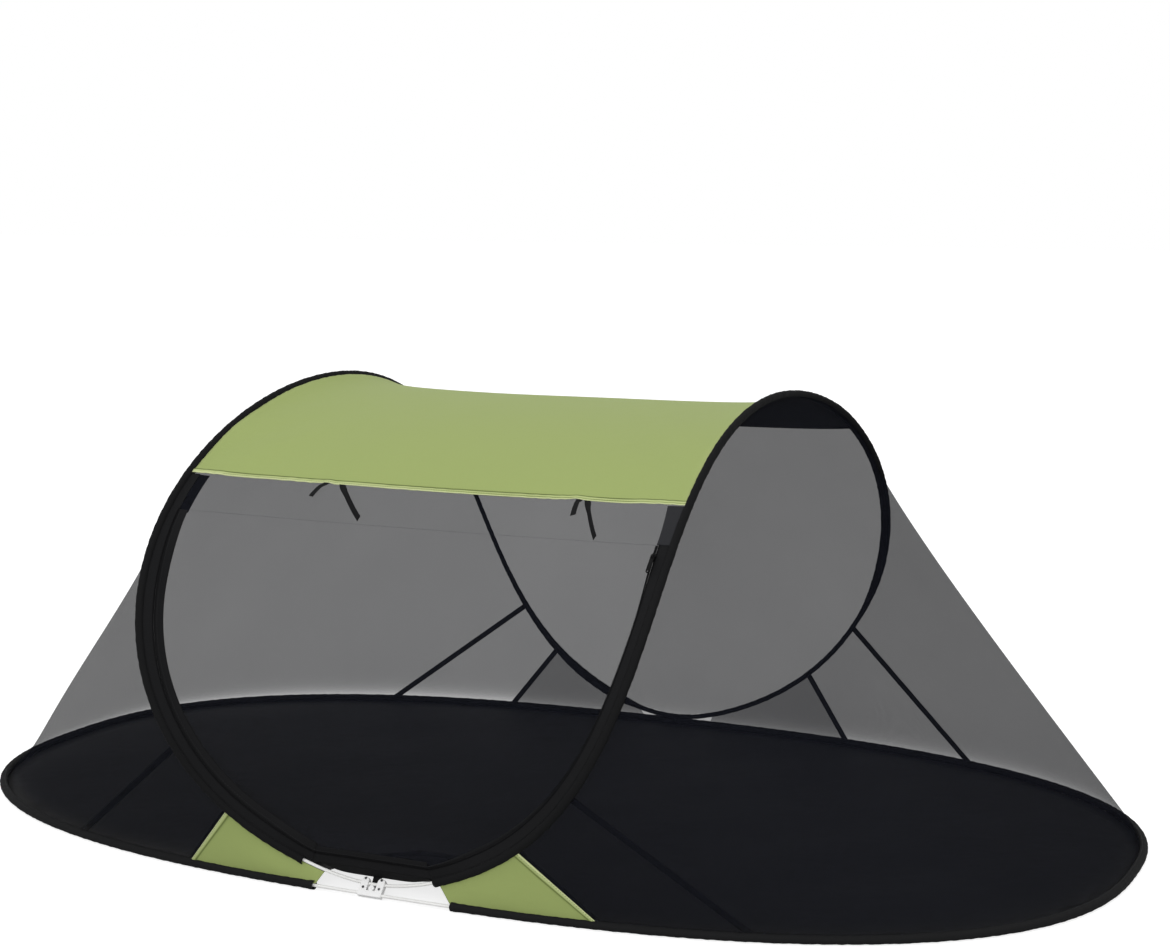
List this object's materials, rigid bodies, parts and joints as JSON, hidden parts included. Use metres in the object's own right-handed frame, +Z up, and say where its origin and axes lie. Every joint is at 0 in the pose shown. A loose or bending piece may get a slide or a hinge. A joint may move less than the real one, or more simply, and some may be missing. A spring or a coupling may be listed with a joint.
{
  "type": "pop up net greenhouse",
  "caption": "Low oval pop up net shelter for plants: two sprung rod hoops in cloth sleeves, net walls, cloth roof, sewn floor and a zipped net door with ties.",
  "frame": {"origin": "centre of the floor on the ground, under the ridge", "axes": "+X along the length, -Y towards the door, +Z up"},
  "size_m": [1.9986, 1.2307, 0.7172],
  "materials": {
    "hoop_rod": "white pultruded glass fibre rod, satin",
    "ferrule_steel": "drawn steel tube",
    "clip_plastic": "moulded white plastic",
    "screw_steel": "black screws",
    "floor_cloth": "coated black woven cloth",
    "sleeve_cloth": "black woven cloth",
    "green_cloth": "soft green woven polyester",
    "tape": "black woven tape",
    "black_net": "fine black insect net",
    "zip_metal": "black lacquered die casting"
  },
  "bodies": {
    "tent": {"base_hoop_rod": "hoop_rod", "base_hoop_ferrule": "ferrule_steel", "roof_hoop_rod": "hoop_rod", "roof_hoop_ferrule": "ferrule_steel", "hoop_clip_front": "clip_plastic", "hoop_clip_back": "clip_plastic", "clip_screws": "screw_steel", "floor_sheet": "floor_cloth", "front_sill": "floor_cloth", "base_sleeve_left": "sleeve_cloth", "base_sleeve_right": "sleeve_cloth", "roof_sleeve_front_left": "sleeve_cloth", "roof_sleeve_front_right": "sleeve_cloth", "roof_sleeve_back_left": "sleeve_cloth", "roof_sleeve_back_right": "sleeve_cloth", "roof_canopy": "green_cloth", "front_net_strip": "black_net", "back_net_panel": "black_net", "left_wall_net": "black_net", "left_front_net": "black_net", "left_back_net": "black_net", "right_wall_net": "black_net", "right_front_net": "black_net", "right_back_net": "black_net", "front_gusset_left": "green_cloth", "front_gusset_right": "green_cloth", "back_gusset_left": "black_net", "back_gusset_right": "black_net", "seam_tape_left_front": "tape", "seam_tape_left_back": "tape", "seam_tape_right_front": "tape", "seam_tape_right_back": "tape", "gusset_tape_left_front": "tape", "gusset_tape_left_back": "tape", "gusset_tape_right_front": "tape", "gusset_tape_right_back": "tape", "zip_tape_left": "tape", "zip_tape_right": "tape", "zip_tape_bottom": "tape", "zip_garage": "tape"},
    "door": {"door_net": "black_net", "door_zip_tape": "tape"},
    "zip_slider": {"zip_slider": "zip_metal"},
    "zip_pull": {"zip_pull": "zip_metal"},
    "left_tie_short": {"left_tie_short": "tape"},
    "left_tie_long": {"left_tie_long": "tape"},
    "right_tie_short": {"right_tie_short": "tape"},
    "right_tie_long": {"right_tie_long": "tape"}
  },
  "joints": [
    {"name": "door_lift", "type": "hinge", "parent": "tent", "child": "door", "pos_m": [0, -0.47167, 0.54033], "axis": [-1, 0, 0], "range_deg": [0, 100]},
    {"name": "slider_run", "type": "hinge", "parent": "door", "child": "zip_slider", "pos_m": [0.173, -0.2517, 0.3063], "axis": [0.8112, 0.4207, -0.4063], "range_deg": [0, 51]},
    {"name": "pull_flip", "type": "hinge", "parent": "zip_slider", "child": "zip_pull", "pos_m": [0.40585, -0.49315, 0.52744], "axis": [-0.9999, 0.0086, 0.0092], "range_deg": [0, 150]},
    {"name": "left_tie_short_swing", "type": "hinge", "parent": "tent", "child": "left_tie_short", "pos_m": [0, -0.41435, 0.58925], "axis": [-1, 0, 0], "range_deg": [0, 70]},
    {"name": "left_tie_long_swing", "type": "hinge", "parent": "tent", "child": "left_tie_long", "pos_m": [0, -0.41435, 0.58925], "axis": [-1, 0, 0], "range_deg": [0, 70]},
    {"name": "right_tie_short_swing", "type": "hinge", "parent": "tent", "child": "right_tie_short", "pos_m": [0, -0.41435, 0.58925], "axis": [-1, 0, 0], "range_deg": [0, 70]},
    {"name": "right_tie_long_swing", "type": "hinge", "parent": "tent", "child": "right_tie_long", "pos_m": [0, -0.41435, 0.58925], "axis": [-1, 0, 0], "range_deg": [0, 70]}
  ]
}
